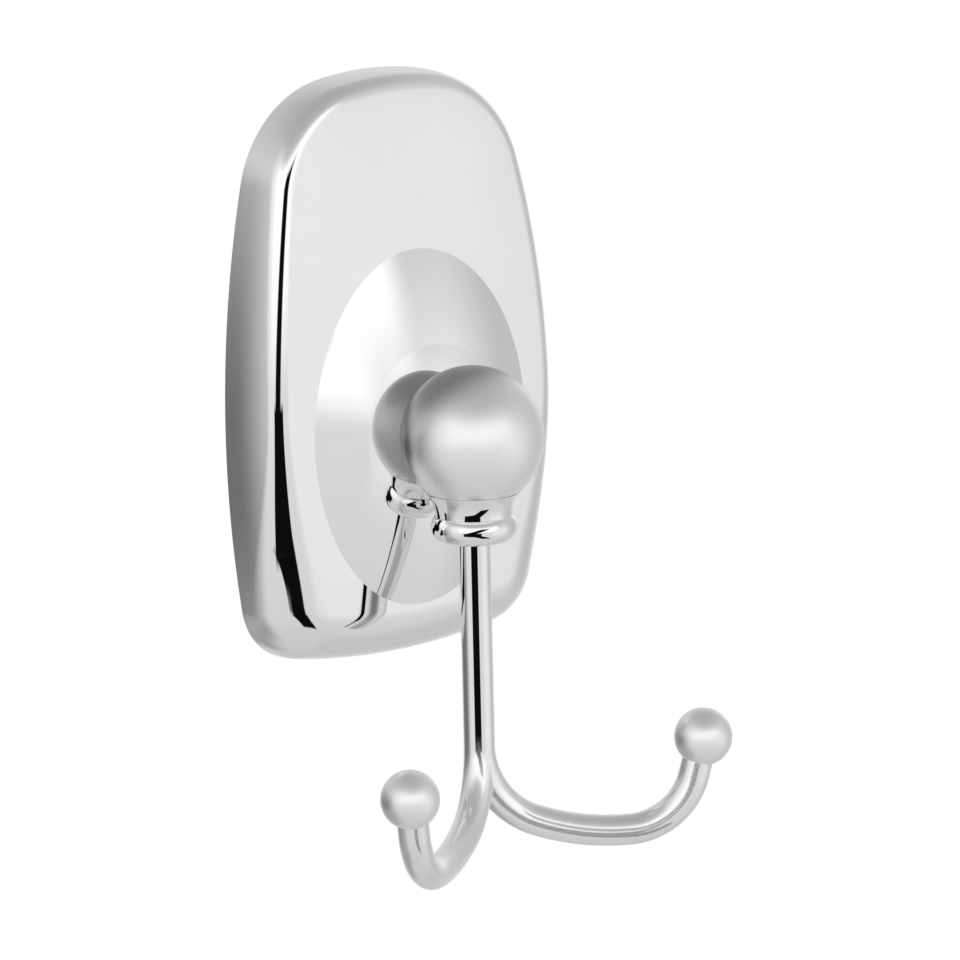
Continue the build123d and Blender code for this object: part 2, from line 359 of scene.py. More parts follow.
def skirt_edge(turn, setback):
    """The share of the skirt at which it comes out of the face, or of the hollow's ceiling."""
    def is_out(share):
        point = skirt_point(turn, share, setback)
        return -point.y > crown_depth(point.xz, setback)

    return bisected(0.0, SWELL_SHARE, is_out)


def cap_depth(radius, setback):
    return PLATE_DEPTH - setback + BOSS_RISE - cap_radius + math.sqrt(cap_radius**2 - radius**2)


def ball_depth(radius, ball):
    return HUB_DEPTH - math.sqrt(ball**2 - radius**2)


def round_ring(turns_round, radius, depth):
    return [at_depth(Vector((radius * math.cos(turn), radius * math.sin(turn))), depth)
            for turn in turns_round]


def meeting_radius(low, ball, setback):
    """The radius at which a ball about the hub's centre comes out of the boss's cap."""
    return bisected(low, ball, lambda radius: (
        ball_depth(radius, ball) > cap_depth(min(radius, BOSS_SEAT[0]), setback)))


dish_ball, bulge_ball = HUB_RADIUS + SEAT_GAP, HUB_RADIUS + PLATE_WALL
dish_edge = meeting_radius(SCREW_HOLE, dish_ball, 0)
bulge_edge = meeting_radius(POST_RADIUS, bulge_ball, PLATE_WALL)
print("ball dish", round(2 * dish_edge, 1), "mm wide,",
      "bulge behind it", round(2 * bulge_edge, 1), "mm")

# %% [markdown]
# ## Backplate mesh
# Now the rings are laid in one run: up the outside, over the face and boss, down into the ball's
# dish, back through the screw hole, out over the post and bulge, along the hollow's ceiling and
# down its wall to the rim, where the last ring welds to the first. Rings on real edges are marked
# sharp, and the rest is shaded smooth.

# %% Backplate mesh
FACE_STEPS, SKIRT_STEPS, CAP_STEPS, DISH_STEPS, BULGE_STEPS = 16, 18, 10, 8, 4
boss_turns = [boss_turn(spot) for spot, _ in plate_edge]
edge_shares = [skirt_edge(turn, 0) for turn in boss_turns]
ceiling_shares = [skirt_edge(turn, PLATE_WALL) for turn in boss_turns]


def ring_of(sections, level):
    return [section[level] for section in sections]


def skirt_ring(shares, progress, setback):
    return [skirt_point(turn, share + (1 - share) * progress, setback)
            for turn, share in zip(boss_turns, shares)]


def face_ring(starts, ends, progress, wall):
    """A ring on the crowned face, part of the way from the shoulder to the foot of the boss."""
    ring = []
    for start, end in zip(starts, ends):
        spot = start.xz.lerp(end.xz, progress)
        ring.append(at_depth(spot, crown_depth(spot, wall)))
    return ring


def turned_rings(steps, start, end, depth_at):
    """Rings about the ball's screw from one radius to another, each at the depth of its radius."""
    for share, last in strides(steps):
        radius = start + (end - start) * share
        next_ring(backplate, round_ring(boss_turns, radius, depth_at(radius)), sharp=last)


backplate = first_ring("chrome_backplate", ring_of(outer_sections, 0))
for level in range(1, len(outer_sections[0])):
    next_ring(backplate, ring_of(outer_sections, level))
boss_foot = skirt_ring(edge_shares, 0, 0)
for share, last in strides(FACE_STEPS):
    next_ring(backplate, face_ring(shoulder_tops, boss_foot, share, 0), sharp=last)
for share, last in strides(SKIRT_STEPS):
    next_ring(backplate, skirt_ring(edge_shares, share, 0), sharp=last)
turned_rings(CAP_STEPS, BOSS_SEAT[0], dish_edge, lambda radius: cap_depth(radius, 0))
turned_rings(DISH_STEPS, dish_edge, SCREW_HOLE, lambda radius: ball_depth(radius, dish_ball))
post_root = ball_depth(POST_RADIUS, bulge_ball)
for radius, depth in ((SCREW_HOLE, POST_FACE), (POST_RADIUS, POST_FACE), (POST_RADIUS, post_root)):
    next_ring(backplate, round_ring(boss_turns, radius, depth), sharp=True)
turned_rings(BULGE_STEPS, POST_RADIUS, bulge_edge, lambda radius: ball_depth(radius, bulge_ball))
turned_rings(BULGE_STEPS, bulge_edge, BOSS_SEAT[0], lambda radius: cap_depth(radius, PLATE_WALL))
for share, last in strides(HOLLOW_STEPS):
    next_ring(backplate, skirt_ring(ceiling_shares, 1 - share, PLATE_WALL), sharp=last)
ceiling_foot = skirt_ring(ceiling_shares, 0, PLATE_WALL)
ceiling_rim = ring_of(inner_sections, -1)
for share, _ in strides(HOLLOW_STEPS):
    next_ring(backplate, face_ring(ceiling_foot, ceiling_rim, share, PLATE_WALL))
for level in range(len(inner_sections[0]) - 2, -1, -1):
    next_ring(backplate, ring_of(inner_sections, level), sharp=level == 0)
next_ring(backplate, ring_of(outer_sections, 0), sharp=True)
close_rings(backplate)

# %% [markdown]
# ## Rib, pad and screw hole
# Inside the plate a rib hangs on the wall bracket's upper flange, and a round pad takes the set
# screw. Each is a primitive that is shaped and then joined with a Boolean modifier, as one would
# weld a block into a casting. The hole for the set screw is cut last, through the pad and the
# plate's lower side.

# %% Rib, pad and screw hole
RIB_WIDTH, RIB_THICKNESS, RIB_BACK, RIB_FRONT = 34.0, 2.5, 3.2, 12.9
BRACKET_SHEET, BRACKET_UPPER = 1.6, 30.0
FLANGE_SLOPE = math.tan(math.radians(15.0))
PAD_RADIUS, PAD_TOP, PAD_FOOT = 4.1, -39.9, -44.1
SET_SCREW_SETBACK, SET_SCREW_HOLE = 4.2, 2.1
CUT_OVERRUN, BAR_SIDES = 2.0, 48


def carve(piece, tool, operation):
    """Join a tool to a piece, or cut it away, and remove the tool."""
    pick(piece)
    weld = piece.modifiers.new(tool.name, "BOOLEAN")
    weld.object, weld.operation, weld.solver = tool, operation, "EXACT"
    bpy.ops.object.modifier_apply(modifier=weld.name)
    bpy.data.objects.remove(tool)


def upright_bar(name, radius, depth, low, high):
    """A round bar that stands on the middle plane, at a depth in front of the wall."""
    bpy.ops.object.select_all(action="DESELECT")
    bpy.ops.mesh.primitive_cylinder_add(
        vertices=BAR_SIDES, radius=radius * mm, depth=(high - low) * mm,
        location=(0, -depth * mm, (low + high) / 2 * mm))
    bpy.context.object.name = name
    return bpy.context.object


bpy.ops.object.select_all(action="DESELECT")
bpy.ops.mesh.primitive_cube_add(size=1)
rib = bpy.context.object
rib.name = "bracket_rib"
flange_top = BRACKET_UPPER + BRACKET_SHEET / 2 / math.cos(math.atan(FLANGE_SLOPE)) + SLIDE_GAP
for corner in rib.data.vertices:
    depth = RIB_FRONT if corner.co.y < 0 else RIB_BACK
    level = flange_top + (depth - BRACKET_SHEET / 2) * FLANGE_SLOPE
    level += RIB_THICKNESS if corner.co.z > 0 else 0
    corner.co = Vector((math.copysign(RIB_WIDTH / 2, corner.co.x), -depth, level)) * mm
carve(backplate, rib, "UNION")
pad = upright_bar("screw_pad", PAD_RADIUS, SET_SCREW_SETBACK, PAD_FOOT, PAD_TOP)
carve(backplate, pad, "UNION")
hole = upright_bar("screw_hole", SET_SCREW_HOLE, SET_SCREW_SETBACK,
                   -PLATE_BOTTOM - CUT_OVERRUN, PAD_TOP + CUT_OVERRUN)
carve(backplate, hole, "DIFFERENCE")
bpy.ops.object.shade_smooth_by_angle(angle=CREASE, keep_sharp_edges=True)
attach(backplate, "root")
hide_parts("backplate")
print("backplate with its rib and pad:", len(backplate.data.polygons), "faces")

# %% [markdown]
# ## Set screw
# A grub screw in the lower edge clamps the plate to its bracket. Rings again: a hexagon for the
# floor of the socket, then out and round to the chamfered tip, which the first face closes as it is
# drawn along. A cylinder with a hexagon cut out would do as well. Screw and pad lie a millimetre
# nearer the wall than in the solids, because the wide roll of the lower edge would otherwise leave
# the screw standing proud.

# %% Set screw
SET_SCREW_RADIUS, SET_SCREW_CHAMFER = 2.0, 0.5
SET_SCREW_FOOT, SET_SCREW_TIP = -45.2, -36.2
HEX_REACH, HEX_DEPTH, HEX_TURN = 1.0, 2.5, math.tau / 6


def screw_ring(radius, level, six_sided=False):
    points = []
    for side in range(BAR_SIDES):
        angle = math.tau * side / BAR_SIDES
        reach = radius / math.cos(angle % HEX_TURN - HEX_TURN / 2) if six_sided else radius
        out = reach * math.sin(angle) - SET_SCREW_SETBACK
        points.append(Vector((reach * math.cos(angle), out, level)))
    return points


socket_floor = screw_ring(HEX_REACH, SET_SCREW_FOOT + HEX_DEPTH, True)
set_screw = first_ring("zinc_set_screw", socket_floor)
bpy.ops.mesh.edge_face_add()
for ring in ((HEX_REACH, SET_SCREW_FOOT, True), (SET_SCREW_RADIUS, SET_SCREW_FOOT),
             (SET_SCREW_RADIUS, SET_SCREW_TIP - SET_SCREW_CHAMFER),
             (SET_SCREW_RADIUS - SET_SCREW_CHAMFER, SET_SCREW_TIP)):
    next_ring(set_screw, screw_ring(*ring), sharp=True)
close_rings(set_screw)
bpy.ops.object.shade_smooth_by_angle(angle=CREASE, keep_sharp_edges=True)
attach(set_screw, "root")
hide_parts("set_screw")

# %% [markdown]
# ## Drop rod and arms
# Rod and arm are one bent bar, so they are made as a bar is bent: a circle is drawn out straight,
# then spun round one arc after another. A curve with a bevel would give the same tube. With spins,
# each bend is simply a radius and an angle, and the open end is at hand for the spigot that carries
# the end ball.

# %% Drop rod and arms
ROD_RADIUS = 3.05
ROD_TOP, PART_DROP, SPLIT_DROP = -6.1, -58.0, -61.1
ARM_SPREAD = math.radians(57.6)
ARM_BENDS = ((16.6, 70.0, 36), (48.3, 22.4, 20), (13.9, 73.0, 36))
TIP_RADIUS, TIP_STEM = 5.7, 7.7
TIP_SEAT = math.sqrt(TIP_RADIUS**2 - ROD_RADIUS**2)
SPIGOT_RADIUS, SPIGOT_LENGTH = 1.6, 4.0
ROD_SIDES, PICK_SLACK = 72, 0.01
spin_axis = Vector((-math.cos(ARM_SPREAD), -math.sin(ARM_SPREAD), 0))


def select_where(piece, test):
    """Select only the corners of the piece in edit mode that pass a test of their place."""
    mesh = bmesh.from_edit_mesh(piece.data)
    for corner in mesh.verts:
        corner.select = test(corner.co / mm)
    mesh.select_flush_mode()
    mesh.select_flush(True)
    bmesh.update_edit_mesh(piece.data)


bpy.ops.object.select_all(action="DESELECT")
bpy.ops.mesh.primitive_circle_add(
    vertices=ROD_SIDES, radius=ROD_RADIUS * mm, location=(0, HUB_CENTRE.y, ROD_TOP * mm))
hook_arms = bpy.context.object
hook_arms.name = hook_arms.data.name = "chrome_hook_arms"
bpy.ops.object.transform_apply(location=True)
bpy.ops.object.mode_set(mode="EDIT")
bpy.ops.mesh.select_all(action="SELECT")
bpy.ops.mesh.extrude_region()
bpy.ops.transform.translate(value=(0, 0, (SPLIT_DROP - ROD_TOP) * mm))
bar_end, heading = Vector((0, HUB_CENTRE.y, SPLIT_DROP * mm)), Vector((0, 0, -1))
for bend_radius, bend_angle, bend_steps in ARM_BENDS:
    centre = bar_end + bend_radius * mm * spin_axis.cross(heading)
    bpy.ops.mesh.spin(
        steps=bend_steps, angle=-math.radians(bend_angle), center=centre, axis=spin_axis)
    turn = Matrix.Rotation(math.radians(bend_angle), 3, spin_axis)
    bar_end, heading = centre + turn @ (bar_end - centre), turn @ heading
stem = TIP_STEM - TIP_SEAT
bpy.ops.mesh.extrude_region()
bpy.ops.transform.translate(value=heading * stem * mm)
bar_end += heading * stem * mm
bpy.ops.mesh.edge_face_add()
bpy.ops.mesh.inset(thickness=(ROD_RADIUS - SPIGOT_RADIUS) * mm, depth=0)
bpy.ops.mesh.extrude_region_move(TRANSFORM_OT_translate={"value": heading * SPIGOT_LENGTH * mm})
select_where(hook_arms, lambda spot: spot.z > ROD_TOP - PICK_SLACK)
bpy.ops.mesh.edge_face_add()
print("arm ends at", [round(value / mm, 1) for value in bar_end])

# %% [markdown]
# ## Second arm
# A second bar, spun the other way, could be joined on with a Boolean, which leaves slivers where
# two tubes run into each other. Instead the bar is cut off at the middle plane and mirrored. That
# leaves a clean seam and a true crotch between the arms.

# %% Halve and mirror the arms
SEAM_GAP, BAR_CREASE = 0.002 * mm, math.radians(35)
bpy.ops.mesh.select_all(action="SELECT")
bpy.ops.mesh.remove_doubles(threshold=WELD_GAP)
bpy.ops.mesh.bisect(plane_co=(0, 0, 0), plane_no=(1, 0, 0), use_fill=False, clear_inner=True)
bpy.ops.object.mode_set(mode="OBJECT")
halves = hook_arms.modifiers.new("halves", "MIRROR")
halves.use_axis = (True, False, False)
halves.use_clip = True
halves.merge_threshold = SEAM_GAP
bpy.ops.object.modifier_apply(modifier=halves.name)
bpy.ops.object.mode_set(mode="EDIT")
bpy.ops.mesh.select_all(action="SELECT")
bpy.ops.mesh.remove_doubles(threshold=WELD_GAP)
bpy.ops.mesh.normals_make_consistent(inside=False)
bpy.ops.object.mode_set(mode="OBJECT")
bpy.ops.object.shade_smooth_by_angle(angle=BAR_CREASE)

# %% [markdown]
# ## Rod and arms apart
# The bar is one solid, but here it is shown as two closed pieces that meet on a flat cut. In the
# catalogue picture the plate mirrors the rod and not the arms, and Blender hides whole objects from
# reflections, not halves. The arms could be left out by a trick in the plate's material, but
# parting the bar is plain to see and to undo.

# %% Part the rod from the arms
bpy.ops.object.duplicate()
drop_rod = bpy.context.object
drop_rod.name = drop_rod.data.name = "chrome_drop_rod"
for piece, is_rod in ((drop_rod, True), (hook_arms, False)):
    pick(piece)
    bpy.ops.object.mode_set(mode="EDIT")
    bpy.ops.mesh.select_all(action="SELECT")
    bpy.ops.mesh.bisect(plane_co=(0, 0, PART_DROP * mm), plane_no=(0, 0, 1), use_fill=True,
                        clear_inner=is_rod, clear_outer=not is_rod)
    bpy.ops.object.mode_set(mode="OBJECT")
    bpy.ops.object.shade_smooth_by_angle(angle=BAR_CREASE)
    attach(piece, "root")
    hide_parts("hook_arms")
    print(piece.name, len(piece.data.polygons), "faces")
hook_arms.visible_glossy = False

# %% [markdown]
# ## Collar
# Below the ball is a turned collar: a flared lip that cups the ball, a waist and a round bead. It
# is a lathe part, so its rings all share one axis and only their radius and height change. The two
# curves of its profile are arcs, and each is divided finely, because small mirror beads show every
# facet.

# %% Collar
COLLAR_SIDES = 128
LIP, LIP_EDGE, WAIST, BEAD, FOOT = (9.1, -10.8), 0.6, (7.5, -15.3), (8.5, -17.4), (5.2, -20.4)
COLLAR_BORE = ROD_RADIUS + SEAT_GAP
BEAD_STEPS, LIP_STEPS, CUP_STEPS = 36, 12, 8


def arc_through(start, middle, end, steps):
    """Points after start along the arc through three points of the profile."""
    (ax, az), (bx, bz), (cx, cz) = start, middle, end
    twice = 2 * (ax * (bz - cz) + bx * (cz - az) + cx * (az - bz))
    a2, b2, c2 = ax**2 + az**2, bx**2 + bz**2, cx**2 + cz**2
    mx = (a2 * (bz - cz) + b2 * (cz - az) + c2 * (az - bz)) / twice
    mz = (a2 * (cx - bx) + b2 * (ax - cx) + c2 * (bx - ax)) / twice
    radius = math.hypot(ax - mx, az - mz)
    first = math.atan2(az - mz, ax - mx)
    through = (math.atan2(bz - mz, bx - mx) - first) % math.tau
    sweep = (math.atan2(cz - mz, cx - mx) - first) % math.tau
    if through > sweep:
        sweep -= math.tau
    points = []
    for step in range(1, steps + 1):
        angle = first + sweep * step / steps
        points.append((mx + radius * math.cos(angle), mz + radius * math.sin(angle)))
    return points


lip_bend = ((LIP[0] - WAIST[0]) ** 2 + (LIP[1] - WAIST[1]) ** 2) / (2 * (LIP[0] - WAIST[0]))
half_sweep = math.asin((LIP[1] - WAIST[1]) / lip_bend) / 2
lip_middle = (WAIST[0] + lip_bend * (1 - math.cos(half_sweep)),
              WAIST[1] + lip_bend * math.sin(half_sweep))
edge_share = bisected(0.0, 1.0, lambda share: (
    math.hypot(LIP[0] - share * LIP_EDGE, LIP[1] + share * LIP_EDGE) < dish_ball))
cup_start = LIP[0] - edge_share * LIP_EDGE
bead = arc_through(FOOT, BEAD, WAIST, BEAD_STEPS)[:-1]
flare = arc_through(WAIST, lip_middle, LIP, LIP_STEPS)[:-1]
profile = [(FOOT, True)] + [(point, False) for point in bead]
profile += [(WAIST, True)] + [(point, False) for point in flare]
profile += [(LIP, True), ((cup_start, LIP[1] + edge_share * LIP_EDGE), True)]
for share, last in strides(CUP_STEPS):
    radius = cup_start + (COLLAR_BORE - cup_start) * share
    profile += [((radius, -math.sqrt(dish_ball**2 - radius**2)), last)]
profile += [((COLLAR_BORE, FOOT[1]), True)]


def collar_ring(spot):
    radius, level = spot
    points = []
    for side in range(COLLAR_SIDES):
        angle = math.tau * side / COLLAR_SIDES
        out = radius * math.sin(angle) - HUB_DEPTH
        points.append(Vector((radius * math.cos(angle), out, level)))
    return points


collar = first_ring("chrome_collar", collar_ring(FOOT))
for spot, sharp in profile[1:]:
    next_ring(collar, collar_ring(spot), sharp=sharp)
next_ring(collar, collar_ring(FOOT), sharp=True)
close_rings(collar)
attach(collar, "root")
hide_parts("collar")

# %% [markdown]
# ## Balls
# The three balls are rings too, turned about the axis on which each one is bored: the hub about its
# screw, a tip about the end of its arm. A primitive sphere would want its holes cut afterwards,
# while here the bore is simply where the rings begin. Only the hub's socket for the rod lies across
# its axis, so that one is cut with a Boolean. The left tip is a mirrored copy with a mesh of its
# own. Both tips stay out of reflections, as the arms do.

# %% Balls
HUB_SIDES, TIP_SIDES = 160, 96
HUB_BORE, HUB_BORE_END = 2.55, 26.6
SOCKET_TOP, SOCKET_END = -6.0, -16.0
TIP_BORE, TIP_BORE_DEPTH = 1.65, 4.1


def turned_ball(name, centre, axis, radius, bore, bore_end, seat, sides):
    """A ball bored from behind along an axis; bore_end and seat are heights from its centre."""
    beside = axis.orthogonal().normalized()
    above_both = axis.cross(beside)

    def ring(reach, height):
        points = []
        for side in range(sides):
            angle = math.tau * side / sides
            outwards = math.cos(angle) * beside + math.sin(angle) * above_both
            points.append(centre + height * axis + reach * outwards)
        return points

    rim = math.sqrt(radius**2 - seat**2)
    ball = first_ring(name, ring(bore, bore_end))
    bpy.ops.mesh.edge_face_add()
    next_ring(ball, ring(bore, seat), sharp=True)
    if rim > bore:
        next_ring(ball, ring(rim, seat), sharp=True)
    start = math.acos(seat / radius)
    steps = sides // 2
    for step in range(1, steps):
        angle = start * (1 - step / steps)
        next_ring(ball, ring(radius * math.sin(angle), radius * math.cos(angle)))
    next_ring(ball, ring(0, radius))
    close_rings(ball)
    return ball


hub = HUB_CENTRE / mm
hub_seat = -math.sqrt(HUB_RADIUS**2 - HUB_BORE**2)
hub_ball = turned_ball("satin_hub_ball", hub, Vector((0, -1, 0)), HUB_RADIUS, HUB_BORE,
                       HUB_BORE_END - HUB_DEPTH, hub_seat, HUB_SIDES)
socket = upright_bar("rod_socket", ROD_RADIUS + SEAT_GAP, HUB_DEPTH, SOCKET_END, SOCKET_TOP)
carve(hub_ball, socket, "DIFFERENCE")
bpy.ops.object.shade_smooth_by_angle(angle=CREASE, keep_sharp_edges=True)
right_tip = turned_ball("satin_right_tip_ball", bar_end / mm + TIP_SEAT * heading, heading,
                        TIP_RADIUS, TIP_BORE, TIP_BORE_DEPTH - TIP_SEAT, -TIP_SEAT, TIP_SIDES)
pick(right_tip)
bpy.ops.object.duplicate()
left_tip = bpy.context.object
left_tip.name = left_tip.data.name = "satin_left_tip_ball"
left_tip.scale.x = -1
bpy.ops.object.transform_apply(scale=True)
bpy.ops.object.mode_set(mode="EDIT")
bpy.ops.mesh.select_all(action="SELECT")
bpy.ops.mesh.normals_make_consistent(inside=False)
bpy.ops.object.mode_set(mode="OBJECT")
ball_nodes = (
    (hub_ball, "hub_ball"), (right_tip, "right_tip_ball"), (left_tip, "left_tip_ball"))
for ball, node in ball_nodes:
    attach(ball, "root")
    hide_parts(node)
    ball.visible_glossy = ball is hub_ball
print("balls:", ", ".join(ball.name for ball, _ in ball_nodes))

# %% [markdown]
# ## Studio
# A chrome hook is a picture of the room it hangs in, so the room comes before the finishes. It
# could be built of cards and lamps, but here it is painted on the world: a soft gradient from floor
# to ceiling, with patches of light and dark laid over it. A patch is a rectangle with blurred
# edges, placed by its turn to the left or right of the hook's front and by its height over the
# horizon, both in degrees. One node group makes them all. The short functions before it wire nodes
# together, here and in the finishes further on.

# %% Soft patch group
COLOUR_SOCKETS, FLOAT_SOCKETS = (6, 7, 2), (2, 3, 0)
FULL_TURN = 360


def feed(tree, socket, value):
    """Give a socket its value: another node's output, or a number or colour of its own."""
    if isinstance(value, bpy.types.NodeSocket):
        tree.links.new(value, socket)
    else:
        socket.default_value = value


def put(tree, operation, *values):
    """Add a Math node, fed with numbers or other nodes' outputs, and give back its result."""
    step = tree.nodes.new("ShaderNodeMath")
    step.operation = operation
    for socket, value in zip(step.inputs, values):
        feed(tree, socket, value)
    return step.outputs[0]


def mixed(tree, factor, below, above, colours=True):
    """Mix two colours, or two plain numbers, and give back the result."""
    mix = tree.nodes.new("ShaderNodeMix")
    mix.data_type = "RGBA" if colours else "FLOAT"
    first, second, result = COLOUR_SOCKETS if colours else FLOAT_SOCKETS
    feed(tree, mix.inputs["Factor"], factor)
    feed(tree, mix.inputs[first], below)
    feed(tree, mix.inputs[second], above)
    return mix.outputs[result]


def ramped(tree, value, low, high, start=0, end=1, kind="SMOOTHSTEP"):
    """Let a value run from start, where it is low, to end, where it is high."""
    ramp = tree.nodes.new("ShaderNodeMapRange")
    ramp.interpolation_type = kind
    limits = {"Value": value, "From Min": low, "From Max": high, "To Min": start, "To Max": end}
    for title, limit in limits.items():
        feed(tree, ramp.inputs[title], limit)
    return ramp.outputs["Result"]


patch_group = bpy.data.node_groups.new("soft_patch", "ShaderNodeTree")
PATCH_INPUTS = ("Turn", "Height", "Middle Turn", "Half Width", "Middle Height", "Half Height",
                "Softness", "Lean")
for title in PATCH_INPUTS:
    patch_group.interface.new_socket(title, in_out="INPUT", socket_type="NodeSocketFloat")
patch_group.interface.new_socket("Mask", in_out="OUTPUT", socket_type="NodeSocketFloat")
given = patch_group.nodes.new("NodeGroupInput").outputs
result = patch_group.nodes.new("NodeGroupOutput")


def soft_side(distance, half):
    """1 inside a half size, 0 outside it, with a smooth change that is as wide as the softness."""
    blur = put(patch_group, "MULTIPLY", given["Softness"], 0.5)
    inner = put(patch_group, "SUBTRACT", half, blur)
    outer = put(patch_group, "ADD", half, blur)
    return ramped(patch_group, distance, inner, outer, start=1, end=0)


above_middle = put(patch_group, "SUBTRACT", given["Height"], given["Middle Height"])
leaning = put(patch_group, "MULTIPLY", above_middle, given["Lean"])
leant_turn = put(patch_group, "SUBTRACT", given["Turn"], leaning)
off_middle = put(patch_group, "SUBTRACT", leant_turn, given["Middle Turn"])
turned_off = put(patch_group, "ABSOLUTE", off_middle)
other_way = put(patch_group, "ABSOLUTE", put(patch_group, "SUBTRACT", FULL_TURN, turned_off))
nearest = put(patch_group, "MINIMUM", turned_off, other_way)
across_mask = soft_side(nearest, given["Half Width"])
upright_mask = soft_side(put(patch_group, "ABSOLUTE", above_middle), given["Half Height"])
mask = put(patch_group, "MULTIPLY", across_mask, upright_mask)
patch_group.links.new(mask, result.inputs["Mask"])
print("patch group of", len(patch_group.nodes), "nodes")

# %% [markdown]
# The gradient is darkest overhead, where a studio has no lamps, and palest around the horizon.
# Light patches are the soft box in front and the white walls; dark ones are the room behind the
# camera. Last come four black flags, which give polished chrome its inky edges. Only sharp
# reflections see the flags, by Light Path's Is Singular Ray, because on the satin balls they would
# smear into a grey bruise. Camera rays get plain white. A row of the tables below is a patch: its
# name, then the group's inputs from Middle Turn on, and last its tone.

# %% World
HEIGHT_TONES = (
    (-90, 0.62), (-60, 0.65), (-35, 0.70), (-10, 0.74), (15, 0.72),
    (38, 0.58), (52, 0.47), (70, 0.43), (90, 0.41))
HALF_TURN = 180
ROOM_PATCHES = (
    ("left_wall", -88, 24, 18, 22, 40, 0, 0.92),
    ("room_behind", -148, 34, -12, 22, 40, 0, 0.17),
    ("floor_behind", -150, 45, -48, 16, 32, 0, 0.36),
    ("soft_box", -27, 57, 16, 17, 14, 0, 1.10),
    ("front_wall", 30, 20, -8, 18, 18, 0, 0.86),
    ("right_wall", 85, 22, 2, 36, 30, 0, 0.56),
    ("right_gap", 120, 10, 8, 12, 16, 0, 0.92),
    ("right_floor", 115, 50, -52, 18, 32, 0, 0.58),
)
BLACK_FLAGS = (
    ("tall_flag", -33, 14, 5, 18, 6, 1.3, 0.004),
    ("wide_flag", -45, 24, -18.7, 11.8, 2, 0, 0.004),
    ("corner_flag", -43, 16, -31.2, 2.4, 3, -6, 0.004),
    ("low_flag", -20, 16, -36.3, 12.2, 4, -1.64, 0.004),
)
world = bpy.data.worlds.new("studio")
bpy.context.scene.world = world
world.use_nodes = True
sky = world.node_tree
direction = sky.nodes.new("ShaderNodeTexCoord")
parts = sky.nodes.new("ShaderNodeSeparateXYZ")
sky.links.new(direction.outputs["Generated"], parts.inputs[0])
to_front = put(sky, "MULTIPLY", parts.outputs["Y"], -1)
turn_round = put(sky, "DEGREES", put(sky, "ARCTAN2", parts.outputs["X"], to_front))
height_up = put(sky, "DEGREES", put(sky, "ARCSINE", parts.outputs["Z"]))
rays = sky.nodes.new("ShaderNodeLightPath").outputs

gradient = sky.nodes.new("ShaderNodeValToRGB")
sky.links.new(put(sky, "MULTIPLY_ADD", height_up, 1 / HALF_TURN, 0.5), gradient.inputs["Fac"])
stops = gradient.color_ramp.elements
for count, (level, tone) in enumerate(HEIGHT_TONES):
    spot = level / HALF_TURN + 0.5
    if 0 < count < len(HEIGHT_TONES) - 1:
        stop = stops.new(spot)
    else:
        stop = stops[0] if count == 0 else stops[-1]
    stop.color = (tone, tone, tone, 1)


def lay_over(below, mask, tone):
    """Mix a grey over what is painted so far."""
    return mixed(sky, mask, below, (tone, tone, tone, 1))


def patch_mask(name, *numbers):
    patch = sky.nodes.new("ShaderNodeGroup")
    patch.node_tree = patch_group
    patch.name = patch.label = name
    sky.links.new(turn_round, patch.inputs["Turn"])
    sky.links.new(height_up, patch.inputs["Height"])
    for title, number in zip(PATCH_INPUTS[2:], numbers):
        patch.inputs[title].default_value = number
    return patch.outputs["Mask"]


painted = gradient.outputs["Color"]
for name, *numbers, tone in ROOM_PATCHES:
    painted = lay_over(painted, patch_mask(name, *numbers), tone)
for name, *numbers, tone in BLACK_FLAGS:
    mirrored = put(sky, "MULTIPLY", patch_mask(name, *numbers), rays["Is Singular Ray"])
    painted = lay_over(painted, mirrored, tone)
painted = lay_over(painted, rays["Is Camera Ray"], 1)
sky.links.new(painted, sky.nodes["Background"].inputs["Color"])
print("studio of", len(ROOM_PATCHES), "patches and", len(BLACK_FLAGS), "flags")

# %% [markdown]
# ## Metal grain
# No metal is quite even. Plating varies a little in tone, a grit-blasted ball is pitted, zinc has
# spangles. One group serves every finish: a noise on the piece's own coordinates mixes two tones
# and two roughnesses, and hands out its height for a bump. Each material chooses the scale and how
# far apart the two ends lie.

# %% Metal grain group
GRAIN_INPUTS = (("Scale", "Float"), ("Dark", "Color"), ("Light", "Color"),
                ("Smooth", "Float"), ("Rough", "Float"))
GRAIN_OUTPUTS = (("Color", "Color"), ("Roughness", "Float"), ("Height", "Float"))
GRAIN_DETAIL, GRAIN_LOW, GRAIN_HIGH = 3, 0.3, 0.7
COOLNESS = 1.006
grain_group = bpy.data.node_groups.new("metal_grain", "ShaderNodeTree")
for sockets, way in ((GRAIN_INPUTS, "INPUT"), (GRAIN_OUTPUTS, "OUTPUT")):
    for title, kind in sockets:
        grain_group.interface.new_socket(title, in_out=way, socket_type="NodeSocket" + kind)
grain_in = grain_group.nodes.new("NodeGroupInput").outputs
grain_out = grain_group.nodes.new("NodeGroupOutput").inputs
on_piece = grain_group.nodes.new("ShaderNodeTexCoord")
pits = grain_group.nodes.new("ShaderNodeTexNoise")
pits.inputs["Detail"].default_value = GRAIN_DETAIL
grain_group.links.new(on_piece.outputs["Object"], pits.inputs["Vector"])
grain_group.links.new(grain_in["Scale"], pits.inputs["Scale"])
spread = ramped(grain_group, pits.outputs["Fac"], GRAIN_LOW, GRAIN_HIGH, kind="LINEAR")
tones = mixed(grain_group, spread, grain_in["Dark"], grain_in["Light"])
polish = mixed(grain_group, spread, grain_in["Smooth"], grain_in["Rough"], colours=False)
for title, source in (("Color", tones), ("Roughness", polish), ("Height", spread)):
    grain_group.links.new(source, grain_out[title])
print("grain group of", len(grain_group.nodes), "nodes")


def grey(tone):
    """A metal's grey, a touch cooler than neutral."""
    return (tone, tone, tone * COOLNESS, 1)


